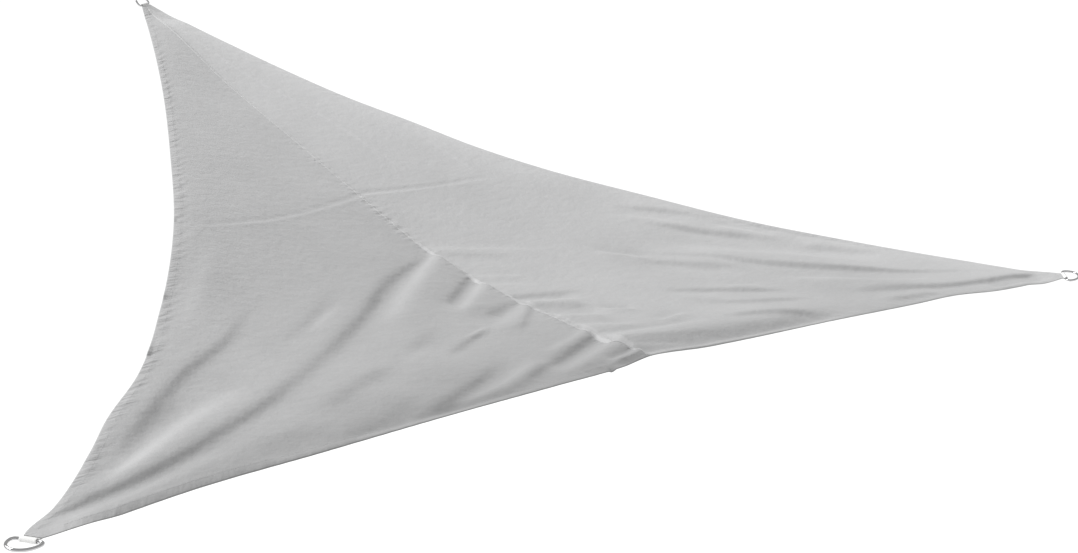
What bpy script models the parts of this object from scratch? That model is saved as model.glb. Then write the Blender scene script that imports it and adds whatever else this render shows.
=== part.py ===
"""Triangular shade sail of light grey woven polyester, hung by a steel D-ring at each corner.

Two cloth panels meet at one seam, which runs from the high corner to the middle of the level lower
side. All three sides are cut hollow and hemmed, the cloth hangs a little below the plane of its
corners, and long slack folds run up from the left corner and in from the right one. White webbing
is folded round each ring's bar and sewn under the cloth's tip.

Units are metres and +Z is up. The sail is laid out in its own plane: u runs along the lower side
from its middle, v runs up the plane to the high corner, and w stands square to the plane. The
world's origin is the middle of the high ring's eye.
"""

import math

import bmesh
import bpy
import numpy as np
from mathutils import Matrix, Vector

# Driving sizes
SIDE = 3.000            # of the triangle that the three corners are laid out on
SLOPE = 16.43           # degrees that the plane climbs from the lower side to the high corner
CLOTH = 0.0020          # thickness of the cloth solid
HEM_WIDTH = 0.025
HEM_FOLD = 0.0008       # how much thicker the turned hem is
SEAM_WIDTH = 0.010
SEAM_FOLD = 0.0006
STEP = 0.003            # width over which a hem or seam allowance fades into the single cloth
GAP = 0.0003            # clearance between neighbouring pieces
TIP_REACH = 0.029       # the cloth's edges would meet this far beyond the corner
TIP_CUT = 0.008         # the cloth ends this far short of the ring's bar
TIP_FLAT = 0.060        # the doubled cloth round a ring stays flat this far in
TIP_BLEND = 0.170       # and has the sail's own shape from here on

WEBBING_WIDTH = 0.030
WEBBING = 0.0016
CLOTH_ABOVE_BAR = GAP / 2 + WEBBING + GAP
TAIL = 0.050            # the webbing's tails end this far inside the bar
WRAP = 132.0            # degrees that it follows the bar to either side
WRAP_STEPS = 12
ROD = 0.0030            # radius of the ring's rod
EYE_WIDTH = 0.050       # inside the ring, along the bar
RING_DEPTH = 0.041      # from the middle of the bar to the outside of the bow
RING_CORNER = 0.008
ROD_SIDES = 8
BOW_STEPS = 25          # odd, so that one flat of the rod faces the pull at the top of the bow
CORNER_STEPS = 4

HEIGHT = SIDE * math.sqrt(3) / 2

# Corners: u and v, how far the ring's bar sits beyond the corner, and in degrees the heading away
# from the sail, the bar's turn in the plane, its roll about the pull, how steeply the cloth rises
# to the ring, and how much further the ring itself is lifted.
CORNERS = {
    "high": {
        "at": (0.0, HEIGHT), "out": -0.008,
        "heading": 90.0, "turn": 30.0, "roll": 0.0, "rise": 12.0, "lift": 26.0,
    },
    "left": {
        "at": (-SIDE / 2, 0.0), "out": 0.005,
        "heading": 210.0, "turn": 2.0, "roll": 12.0, "rise": 5.0, "lift": 2.0,
    },
    "right": {
        "at": (SIDE / 2, 0.0), "out": 0.0,
        "heading": -30.0, "turn": -10.0, "roll": 3.0, "rise": 9.0, "lift": 6.0,
    },
}

# Sides: how deep the middle hangs below the plane, and rows of (share of the way along, how far
# the edge is drawn in from the straight line between the cloth's points).
SIDES = {
    "left": {
        "ends": ("high", "left"), "facing": "right", "hang": 0.058,
        "drawn_in": (
            (0.000, 0.000), (0.030, 0.017), (0.100, 0.052), (0.250, 0.112), (0.400, 0.152),
            (0.550, 0.178), (0.700, 0.167), (0.800, 0.138), (0.860, 0.095), (0.900, 0.077), (0.960, 0.037),
            (0.985, 0.005), (1.000, 0.000),
        ),
    },
    "right": {
        "ends": ("high", "right"), "facing": "left", "hang": 0.088,
        "drawn_in": (
            (0.000, 0.000), (0.030, 0.004), (0.100, 0.036), (0.200, 0.087), (0.270, 0.118),
            (0.350, 0.134), (0.420, 0.164), (0.500, 0.171), (0.600, 0.147), (0.700, 0.133),
            (0.800, 0.091), (0.900, 0.053), (0.950, 0.037), (0.975, 0.016), (1.000, 0.000),
        ),
    },
    "lower": {
        "ends": ("left", "right"), "facing": "high", "hang": 0.048,
        "drawn_in": (
            (0.000, 0.000), (0.030, 0.005), (0.060, 0.027), (0.100, 0.053), (0.200, 0.089), (0.300, 0.118),
            (0.400, 0.137), (0.470, 0.149), (0.500, 0.166), (0.560, 0.151), (0.700, 0.122),
            (0.800, 0.094), (0.850, 0.081), (0.900, 0.045), (0.950, 0.022), (1.000, 0.000),
        ),
    },
}

# Seam: rows of (share of the way from the high corner to the lower side, how far it hangs).
SEAM_HANG = (
    (0.00, 0.000), (0.10, 0.025), (0.24, 0.073), (0.38, 0.101), (0.52, 0.130),
    (0.64, 0.152), (0.76, 0.143), (0.87, 0.108), (0.94, 0.080), (1.00, 0.048),
)

# Folds: three points (u, v) that the crest runs through, half width at its start and at its end,
# and height above the cloth, negative for a trough.
FOLDS = {
    "left": (
        # start          middle          end             from   to     height
        ((-1.38, 0.08), (-0.85, 0.33), (-0.02, 0.94), 0.040, 0.070, -0.014),
        ((-1.37, 0.12), (-0.93, 0.39), (-0.50, 0.67), 0.050, 0.100, 0.013),
        ((-1.32, 0.17), (-1.13, 0.35), (-0.97, 0.50), 0.040, 0.090, -0.007),
        ((-1.02, 0.45), (-0.82, 0.59), (-0.58, 0.78), 0.050, 0.060, -0.007),
        ((-0.97, 0.60), (-0.82, 0.72), (-0.67, 0.85), 0.065, 0.075, 0.007),
        ((-1.38, 0.03), (-1.21, 0.06), (-1.00, 0.12), 0.040, 0.065, -0.006),
        ((-0.77, 0.25), (-0.52, 0.38), (-0.28, 0.53), 0.060, 0.060, -0.008),
        ((-0.75, 0.35), (-0.52, 0.48), (-0.25, 0.67), 0.065, 0.065, 0.006),
        ((-0.47, 0.52), (-0.22, 0.73), (-0.01, 0.92), 0.075, 0.040, 0.011),
        ((-0.50, 0.33), (-0.23, 0.48), (-0.02, 0.60), 0.060, 0.040, -0.009),
        ((-0.37, 0.32), (-0.18, 0.44), (-0.03, 0.55), 0.050, 0.040, 0.008),
        ((-0.48, 0.11), (-0.25, 0.22), (-0.03, 0.33), 0.050, 0.040, -0.012),
        ((-0.38, 0.10), (-0.20, 0.20), (-0.02, 0.28), 0.050, 0.040, 0.012),
        ((-0.18, 1.00), (-0.08, 1.15), (-0.02, 1.27), 0.050, 0.040, -0.006),
    ),
    "right": (
        ((0.46, 0.77), (0.90, 0.36), (1.41, 0.10), 0.050, 0.035, -0.008),
        ((0.67, 0.67), (1.02, 0.38), (1.35, 0.17), 0.060, 0.035, 0.007),
        ((0.78, 0.33), (1.07, 0.21), (1.37, 0.10), 0.050, 0.030, 0.007),
        ((0.92, 0.20), (1.18, 0.12), (1.43, 0.06), 0.040, 0.025, -0.007),
        ((0.03, 0.35), (0.35, 0.28), (0.83, 0.12), 0.050, 0.040, -0.007),
        ((0.02, 0.30), (0.12, 0.26), (0.28, 0.22), 0.040, 0.040, 0.007),
        ((0.63, 0.88), (0.88, 0.65), (1.22, 0.32), 0.040, 0.040, -0.005),
        ((0.03, 0.58), (0.13, 0.54), (0.28, 0.47), 0.040, 0.050, 0.005),
    ),
}
FOLD_FADE = 0.050       # a fold dies out this far from a hem or the seam
FOLD_SAMPLES = 48

# Sheets: rows down the seam and columns across, both closer together towards the corners.
SHEETS = {"left": (46, 35), "right": (42, 28)}
TIP_ROWS = (0.005, 0.016, 0.027)    # shares of the way down for the rows beside the high ring
NEXT_ROW = 0.042
CROWDING = 0.55


def smooth(x):
    """0 below 0, 1 above 1, and an even ramp between."""
    x = np.clip(x, 0.0, 1.0)
    return x * x * (3.0 - 2.0 * x)


def through(rows, x):
    """A smooth curve through a table's rows, read at x."""
    at, value = np.array(rows).T
    slope = np.gradient(value, at)
    i = np.clip(np.searchsorted(at, x, side="right") - 1, 0, len(at) - 2)
    step = at[i + 1] - at[i]
    q = (x - at[i]) / step
    return (
        (2 * q**3 - 3 * q**2 + 1) * value[i]
        + (q**3 - 2 * q**2 + q) * step * slope[i]
        + (3 * q**2 - 2 * q**3) * value[i + 1]
        + (q**3 - q**2) * step * slope[i + 1]
    )


def heading(corner):
    angle = math.radians(CORNERS[corner]["heading"])
    return np.array([math.cos(angle), math.sin(angle)])


def cloth_point(corner):
    """Where the cloth's two edges would meet beyond the ring's bar."""
    return np.array(CORNERS[corner]["at"]) + TIP_REACH * heading(corner)


def side_curve(name, share):
    """Points (u, v, w) on a hemmed side, at shares of the way along it."""
    side = SIDES[name]
    start, end = (cloth_point(corner) for corner in side["ends"])
    along = (end - start) / np.linalg.norm(end - start)
    inward = cloth_point(side["facing"]) - start
    inward = inward - inward.dot(along) * along
    inward = inward / np.linalg.norm(inward)
    share = np.asarray(share, float)[..., None]
    plan = start + share * (end - start) + through(side["drawn_in"], share) * inward
    return np.concatenate([plan, -4 * side["hang"] * share * (1 - share)], axis=-1)


def seam_curve(share):
    """Points (u, v, w) down the seam, from the high corner to the middle of the lower side."""
    share = np.asarray(share, float)
    top = cloth_point("high")[1]
    foot = side_curve("lower", 0.5)[1]
    return np.stack([0 * share, top + share * (foot - top), -through(SEAM_HANG, share)], axis=-1)


def fold_height(plan, fold):
    """How far one fold lifts the cloth at each (u, v)."""
    start, middle, end, from_width, to_width, height = fold
    start, middle, end = (np.array(point) for point in (start, middle, end))
    q = np.linspace(0.0, 1.0, FOLD_SAMPLES)[:, None]
    bend = 2 * middle - (start + end) / 2
    crest = (1 - q) ** 2 * start + 2 * q * (1 - q) * bend + q**2 * end
    distance = np.linalg.norm(plan[..., None, :] - crest, axis=-1)
    nearest = distance.argmin(axis=-1)
    distance = distance.min(axis=-1)
    q = q[nearest, 0]
    width = from_width + (to_width - from_width) * q
    bell = np.clip(1 - (distance / width) ** 2, 0, None) ** 2
    return height * bell * smooth(q / 0.25) * smooth((1 - q) / 0.12)


def corner_matrix(corner):
    """The frame of the bar's middle: x along the pull, y along the bar, z up out of the cloth."""
    spec = CORNERS[corner]
    middle = np.array(spec["at"]) + spec["out"] * heading(corner)
    turn = Matrix.Rotation(math.radians(spec["heading"] + spec["turn"]), 4, "Z")
    rise = Matrix.Rotation(-math.radians(spec["rise"]), 4, "Y")
    roll = Matrix.Rotation(math.radians(spec["roll"]), 4, "X")
    return Matrix.Translation((*middle, 0)) @ turn @ rise @ roll


def ring_lift(corner):
    """How the ring itself is swung about its bar, in the bar's frame."""
    return Matrix.Rotation(-math.radians(CORNERS[corner]["lift"]), 4, "Y")


def tip_shape(points):
    """Lays the cloth flat round each ring, on the plane of its webbing."""
    for corner in CORNERS:
        frame = np.array(corner_matrix(corner))
        normal = frame[:3, 2]
        seat = frame[:3, 3] + CLOTH_ABOVE_BAR * normal
        offset = points[..., :2] - seat[:2]
        flat = seat[2] - offset @ normal[:2] / normal[2]
        reach = np.linalg.norm(offset, axis=-1)
        keep = smooth((reach - TIP_FLAT) / (TIP_BLEND - TIP_FLAT))
        points[..., 2] = keep * points[..., 2] + (1 - keep) * flat
    return points


def grid_lines(panel):
    """The rows' shares down the seam, and the columns' places across with their distance in."""
    rows, columns = SHEETS[panel]
    fall = cloth_point("high")[1] - side_curve("lower", 0.5)[1]
    hem, hem_end = (1 - width / fall for width in (HEM_WIDTH, HEM_WIDTH + STEP))
    even = np.linspace(0.0, 1.0, rows)
    down = NEXT_ROW + (hem_end - NEXT_ROW) * (even + CROWDING * np.sin(math.pi * even) / math.pi)
    shares = np.concatenate([TIP_ROWS, down, [hem, 1.0]])

    edge, seam = side_curve(panel, shares), seam_curve(shares)
    width = np.linalg.norm(edge - seam, axis=-1)
    even = np.linspace(0.0, 1.0, columns)
    plain = even - CROWDING * np.sin(2 * math.pi * even) / (2 * math.pi)
    places = []
    for across in width:
        turned = min(HEM_WIDTH / (0.85 * across), 0.20)
        turned_end = turned * (1 + STEP / HEM_WIDTH)
        lapped = min(SEAM_WIDTH / across, 0.10)
        lapped_end = lapped * (1 + STEP / SEAM_WIDTH)
        middle = turned_end + plain * (1 - lapped_end - turned_end)
        places.append(np.concatenate([[0.0, turned], middle, [1 - lapped, 1.0]]))
    return shares, np.array(places), width


def panel_sheet(panel):
    """The underside of one panel as a grid of (u, v, w), and the cloth's thickness at each point.

    Columns run from the hemmed side to the seam. The sheet is stretched between the two, and the
    lower side's own curve is blended in towards the bottom row.
    """
    shares, places, width = grid_lines(panel)
    outer = 0.0 if panel == "left" else 1.0
    t = places[..., None]
    s = shares[:, None, None]
    edge, seam = side_curve(panel, shares)[:, None], seam_curve(shares)[:, None]
    foot = side_curve("lower", outer + (0.5 - outer) * places)
    corner, middle = side_curve(panel, 1.0), seam_curve(1.0)
    points = (1 - t) * edge + t * seam + s * (foot - (1 - t) * corner - t * middle)

    drop = (1 - shares)[:, None] * HEIGHT
    fade = smooth(places * width[:, None] / FOLD_FADE)
    fade = fade * smooth((1 - places) * width[:, None] / FOLD_FADE) * smooth(drop / FOLD_FADE)
    for fold in FOLDS[panel]:
        points[..., 2] += fade * fold_height(points[..., :2], fold)
    points = tip_shape(points)
    points[:, -1, 0] = math.copysign(GAP / 2, points[0, 0, 0])

    thickness = np.full(places.shape, CLOTH)
    thickness[:, -2:] += SEAM_FOLD
    thickness[:, :2] = CLOTH + HEM_FOLD
    thickness[-2:] = CLOTH + HEM_FOLD
    return points, thickness


def sheet_solid(bottom, thickness):
    """A bmesh closed round a grid of points and the same grid raised square to the plane."""
    top = bottom + thickness[..., None] * np.array([0.0, 0.0, 1.0])
    rows, columns = thickness.shape
    bm = bmesh.new()
    low, high = (
        [[bm.verts.new(point) for point in row] for row in grid] for grid in (bottom, top)
    )
    for i in range(rows - 1):
        for j in range(columns - 1):
            for grid in (low, high):
                bm.faces.new((grid[i][j], grid[i][j + 1], grid[i + 1][j + 1], grid[i + 1][j]))
    rim = (
        [(0, j) for j in range(columns)]
        + [(i, columns - 1) for i in range(1, rows)]
        + [(rows - 1, j) for j in range(columns - 2, -1, -1)]
        + [(i, 0) for i in range(rows - 2, 0, -1)]
    )
    for (i, j), (k, m) in zip(rim, rim[1:] + rim[:1]):
        bm.faces.new((low[i][j], low[k][m], high[k][m], high[i][j]))
    return bm


def trim_tip(bm, corner):
    """Cuts the cloth off square to the pull, just short of the ring's bar."""
    frame = corner_matrix(corner)
    at = frame @ Vector((-TIP_CUT, 0, 0))
    pull = frame.to_3x3() @ Vector((1, 0, 0))
    everything = bm.verts[:] + bm.edges[:] + bm.faces[:]
    cut = bmesh.ops.bisect_plane(
        bm, geom=everything, dist=1e-7, plane_co=at, plane_no=pull, clear_outer=True
    )
    edges = [item for item in cut["geom_cut"] if isinstance(item, bmesh.types.BMEdge)]
    if edges:
        bmesh.ops.edgeloop_fill(bm, edges=edges)


def ring_path():
    """The rod's centre line round the ring: x along the pull, y along the bar."""
    half = EYE_WIDTH / 2 + ROD
    bow = RING_DEPTH - ROD - RING_CORNER
    path = []
    for i in range(BOW_STEPS + 1):
        angle = math.pi * i / BOW_STEPS
        path.append((RING_CORNER + bow * math.sin(angle), half * math.cos(angle)))
    quarter = [math.pi / 2 * i / CORNER_STEPS for i in range(1, CORNER_STEPS + 1)]
    corner = [
        (RING_CORNER * (1 - math.sin(angle)), half - RING_CORNER * (1 - math.cos(angle)))
        for angle in quarter
    ]
    return path + [(x, -y) for x, y in corner] + corner[::-1]


def ring_solid():
    """A round rod swept along the closed path of the ring."""
    path = np.array(ring_path())
    ahead, behind = np.roll(path, -1, axis=0), np.roll(path, 1, axis=0)
    bm = bmesh.new()
    loops = []
    for point, after, before in zip(path, ahead, behind):
        into, out = (point - before), (after - point)
        into, out = into / np.linalg.norm(into), out / np.linalg.norm(out)
        along = (into + out) / np.linalg.norm(into + out)
        across = np.array([-along[1], along[0]])
        stretch = 1 / along.dot(out)
        loop = []
        for i in range(ROD_SIDES):
            angle = 2 * math.pi * (i + 0.5) / ROD_SIDES
            x, y = point + across * ROD * math.cos(angle) * stretch
            loop.append(bm.verts.new((x, y, ROD * math.sin(angle))))
        loops.append(loop)
    for first, second in zip(loops, loops[1:] + loops[:1]):
        for i in range(ROD_SIDES):
            j = (i + 1) % ROD_SIDES
            bm.faces.new((first[i], first[j], second[j], second[i]))
    return bm


def webbing_section():
    """The strip's cross-section: wrapped round the bar, then both tails flat and side by side."""
    slit = GAP / 2
    wrap = math.radians(WRAP)
    outline = []
    for radius, level, order in (
        (ROD + GAP + WEBBING, slit + WEBBING, 1),
        (ROD + GAP, slit, -1),
    ):
        radius = radius / math.cos(wrap / WRAP_STEPS)
        # The strip leaves the bar along the tangent and meets its other half.
        x, z = radius * math.cos(wrap), radius * math.sin(wrap)
        meet = x + (z - level) * math.tan(wrap)
        half = [(-TAIL, level), (meet, level)]
        bend = [wrap * (1 - 2 * i / WRAP_STEPS) for i in range(WRAP_STEPS + 1)]
        curve = [(radius * math.cos(angle), radius * math.sin(angle)) for angle in bend]
        whole = half + curve + [(x, -z) for x, z in reversed(half)]
        outline += whole[::order]
    return outline


def webbing_solid():
    """A webbing strip folded round the bar, its two tails side by side under the cloth."""
    section = webbing_section()
    bm = bmesh.new()
    near, far = (
        [bm.verts.new((x, side * WEBBING_WIDTH / 2, z)) for x, z in section] for side in (-1, 1)
    )
    bm.faces.new(near)
    bm.faces.new(far[::-1])
    for i in range(len(section)):
        j = (i + 1) % len(section)
        bm.faces.new((near[i], far[i], far[j], near[j]))
    return bm


def material(name, colour, roughness, metallic=0.0):
    made = bpy.data.materials.new(name)
    made.use_nodes = True
    shader = made.node_tree.nodes["Principled BSDF"]
    shader.inputs["Base Color"].default_value = (*colour, 1.0)
    shader.inputs["Roughness"].default_value = roughness
    shader.inputs["Metallic"].default_value = metallic
    return made


def add_piece(name, bm, finish, parent, smooth_shaded=True):
    bmesh.ops.recalc_face_normals(bm, faces=bm.faces[:])
    mesh = bpy.data.meshes.new(name)
    bm.to_mesh(mesh)
    bm.free()
    if smooth_shaded:
        mesh.shade_smooth()
        mesh.set_sharp_from_angle(angle=math.radians(50))
    mesh.materials.append(finish)
    piece = bpy.data.objects.new(name, mesh)
    piece.parent = parent
    bpy.context.collection.objects.link(piece)
    return piece


def add_empty(name, parent, matrix):
    empty = bpy.data.objects.new(name, None)
    empty.parent = parent
    empty.matrix_local = matrix
    bpy.context.collection.objects.link(empty)
    return empty


def main():
    for leftover in list(bpy.data.objects):
        bpy.data.objects.remove(leftover, do_unlink=True)

    cloth = material("woven_polyester", (0.50, 0.50, 0.51), 0.80)
    webbing = material("white_webbing", (0.86, 0.86, 0.85), 0.70)
    steel = material("polished_steel", (0.80, 0.80, 0.80), 0.18, metallic=1.0)

    slope = Matrix.Rotation(math.radians(SLOPE), 4, "X")
    eye = Matrix.Translation(((RING_DEPTH - ROD) / 2, 0, 0))
    origin = slope @ corner_matrix("high") @ ring_lift("high") @ eye
    plane = add_empty("sail_plane", None, Matrix.Translation(-origin.translation) @ slope)

    for panel in ("left", "right"):
        bm = sheet_solid(*panel_sheet(panel))
        for corner in ("high", panel):
            trim_tip(bm, corner)
        add_piece("panel_" + panel, bm, cloth, plane)

    for corner in CORNERS:
        seat = add_empty("corner_" + corner, plane, corner_matrix(corner))
        add_piece("webbing_loop_" + corner, webbing_solid(), webbing, seat)
        hinge = add_empty("ring_lift_" + corner, seat, ring_lift(corner))
        add_piece("d_ring_" + corner, ring_solid(), steel, hinge)


main()
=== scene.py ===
import math

import bmesh
import bpy
import numpy as np
from mathutils import Matrix, Vector


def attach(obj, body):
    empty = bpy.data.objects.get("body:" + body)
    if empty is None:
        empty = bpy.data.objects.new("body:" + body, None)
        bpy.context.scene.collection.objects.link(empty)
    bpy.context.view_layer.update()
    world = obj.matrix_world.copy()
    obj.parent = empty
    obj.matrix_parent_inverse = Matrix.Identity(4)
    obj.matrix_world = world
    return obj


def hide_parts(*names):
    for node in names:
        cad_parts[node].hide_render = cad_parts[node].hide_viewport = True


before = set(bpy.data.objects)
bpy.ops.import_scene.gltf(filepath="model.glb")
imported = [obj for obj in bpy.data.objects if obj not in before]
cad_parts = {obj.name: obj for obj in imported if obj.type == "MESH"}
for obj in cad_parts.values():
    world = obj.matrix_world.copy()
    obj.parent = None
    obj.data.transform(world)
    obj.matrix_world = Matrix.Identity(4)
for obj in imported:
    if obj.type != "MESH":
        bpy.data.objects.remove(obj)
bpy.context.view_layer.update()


# The camera stands a little above the left corner and looks along the sail towards the right one,
# as the photograph does, with a 50 mm lens.
CAMERA_AT = (-2.3360, -4.5990, 0.0899)
CAMERA_TURN = (78.509, 0.0, -41.581)

camera = bpy.data.objects.new("camera", bpy.data.cameras.new("camera"))
camera.location = CAMERA_AT
camera.rotation_euler = [math.radians(angle) for angle in CAMERA_TURN]
camera.data.lens = 50.0
camera.data.sensor_width = 36.0
camera.data.clip_end = 1000.0
bpy.context.scene.collection.objects.link(camera)
bpy.context.scene.camera = camera


# Two panels of plain-weave polyester, lapped and sewn together down the middle. Their free sides
# are cut hollow and turned under in a hem, and the slack cloth folds from the left corner across
# to the seam. Sizes are in metres, in the sail's plane: u along the lower side, v up, w out.
SIDE = 3.000                # of the triangle that the three corners are laid out on
HEM_LENGTH = SIDE * 1.02    # a hollow side is a little longer than the straight line
SLOPE = 16.43               # how many degrees the sail's plane leans from level
GAP = 0.0003                # between pieces that lie on each other
CLOTH_LIFT = 0.0005         # the cloth's face lies this far above the underside of its solid
HEM_WIDTH = 0.025
HEM_STITCH = 0.021          # the sewn row lies this far in from the edge
HEM_RISE = 0.0005           # the doubled cloth stands this much higher
HEM_EASE = 0.010            # and eases down over this width
STITCH_SUNK, STITCH_GROOVE = 0.0001, 0.0035
LAP = 0.011                 # how far the right panel laps over the left one at the seam
LAP_RISE = 0.0011
LAP_COLUMNS = (             # (out from the seam, share of the lap's rise)
    (0.0015, 0.60), (0.0045, 1.00), (0.0080, 1.00), (0.0100, 0.85), (LAP, 0.25),
)
LAP_SHARE = 0.2             # near the high tip the lap takes at most this share of the panel
TIP_REACH = 0.029           # the cloth's edges would meet this far beyond the corner
TIP_CUT = 0.008             # the cloth ends this far short of the ring's bar
TIP_FLAT = 0.060            # round a ring the cloth stays flat this far in
TIP_BLEND = 0.170           # and has the sail's own shape from here on
WEBBING = 0.0016
CLOTH_ABOVE_BAR = GAP / 2 + WEBBING + GAP
HEIGHT = SIDE * math.sqrt(3) / 2
CORNERS = {
    "high": {
        "at": (0.0, HEIGHT), "out": -0.008,
        "heading": 90.0, "turn": 30.0, "roll": 0.0, "rise": 12.0, "lift": 26.0,
    },
    "left": {
        "at": (-SIDE / 2, 0.0), "out": 0.005,
        "heading": 210.0, "turn": 2.0, "roll": 12.0, "rise": 5.0, "lift": 2.0,
    },
    "right": {
        "at": (SIDE / 2, 0.0), "out": 0.0,
        "heading": -30.0, "turn": -10.0, "roll": 3.0, "rise": 9.0, "lift": 6.0,
    },
}
# (share of the way along, drawn in from the straight line)
SIDES = {
    "left": {
        "ends": ("high", "left"), "facing": "right", "hang": 0.058,
        "drawn_in": (
            (0.000, 0.000), (0.030, 0.017), (0.100, 0.052), (0.250, 0.112), (0.400, 0.152),
            (0.550, 0.178), (0.700, 0.167), (0.800, 0.138), (0.860, 0.095), (0.900, 0.077),
            (0.960, 0.037), (0.985, 0.005), (1.000, 0.000),
        ),
    },
    "right": {
        "ends": ("high", "right"), "facing": "left", "hang": 0.088,
        "drawn_in": (
            (0.000, 0.000), (0.030, 0.004), (0.100, 0.036), (0.200, 0.087), (0.270, 0.118),
            (0.350, 0.134), (0.420, 0.164), (0.500, 0.171), (0.600, 0.147), (0.700, 0.133),
            (0.800, 0.091), (0.900, 0.053), (0.950, 0.037), (0.975, 0.016), (1.000, 0.000),
        ),
    },
    "lower": {
        "ends": ("left", "right"), "facing": "high", "hang": 0.048,
        "drawn_in": (
            (0.000, 0.000), (0.030, 0.005), (0.060, 0.027), (0.100, 0.053), (0.200, 0.089),
            (0.300, 0.118), (0.400, 0.137), (0.470, 0.149), (0.500, 0.166), (0.560, 0.151),
            (0.700, 0.122), (0.800, 0.094), (0.850, 0.081), (0.900, 0.045), (0.950, 0.022),
            (1.000, 0.000),
        ),
    },
}
# (share of the way down, hang)
SEAM_HANG = (
    (0.00, 0.000), (0.10, 0.025), (0.24, 0.073), (0.38, 0.101), (0.52, 0.130),
    (0.64, 0.152), (0.76, 0.143), (0.87, 0.108), (0.94, 0.080), (1.00, 0.048),
)
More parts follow.
